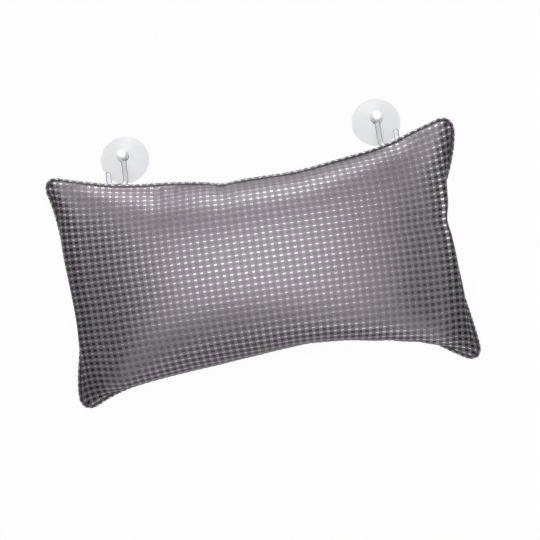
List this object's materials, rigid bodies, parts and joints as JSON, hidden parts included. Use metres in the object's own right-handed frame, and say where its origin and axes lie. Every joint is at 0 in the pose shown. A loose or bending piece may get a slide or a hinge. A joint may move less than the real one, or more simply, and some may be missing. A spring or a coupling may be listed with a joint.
{
  "type": "bath pillow",
  "caption": "Stuffed rectangular bath pillow with drawn-in edges and a piped seam, hung on a bath wall by clear suction cups on plastic hooks in tape loops.",
  "frame": {"origin": "centre of the flat patch on the back, on the surface that the pillow lies on", "axes": "+X along the pillow, +Y towards the edge with the suction cups, +Z out of the front"},
  "size_m": [0.383, 0.2498, 0.0815],
  "materials": {
    "cover_mesh": "grey woven polyester with small glossy floats",
    "piping": "rolled edge in the cover's fabric",
    "filling": "white polyester fibre",
    "loop_tape": "grey woven tape",
    "clear_plastic": "clear moulded plastic",
    "clear_vinyl": "clear soft vinyl"
  },
  "bodies": {
    "pillow": {"front_panel": "cover_mesh", "back_panel": "cover_mesh", "edge_piping": "piping", "fibre_filling": "filling", "left_hanging_loop": "loop_tape", "right_hanging_loop": "loop_tape"},
    "left_hook": {"left_hook": "clear_plastic"},
    "right_hook": {"right_hook": "clear_plastic"},
    "left_cup": {"left_suction_cup": "clear_vinyl"},
    "right_cup": {"right_suction_cup": "clear_vinyl"}
  },
  "joints": [
    {"name": "left_hook_swing", "type": "hinge", "parent": "pillow", "child": "left_hook", "pos_m": [-0.129, 0.09346, 0.026], "axis": [1, 0, 0], "range_deg": [-65, 55]},
    {"name": "right_hook_swing", "type": "hinge", "parent": "pillow", "child": "right_hook", "pos_m": [0.129, 0.09346, 0.026], "axis": [1, 0, 0], "range_deg": [-65, 55]},
    {"name": "left_cup_turn", "type": "hinge", "parent": "left_hook", "child": "left_cup", "pos_m": [-0.121, 0.11826, 0.00606], "axis": [0, 0.2503, 0.9682], "continuous": true},
    {"name": "right_cup_turn", "type": "hinge", "parent": "right_hook", "child": "right_cup", "pos_m": [0.121, 0.11826, 0.00606], "axis": [0, 0.2503, 0.9682], "continuous": true}
  ]
}
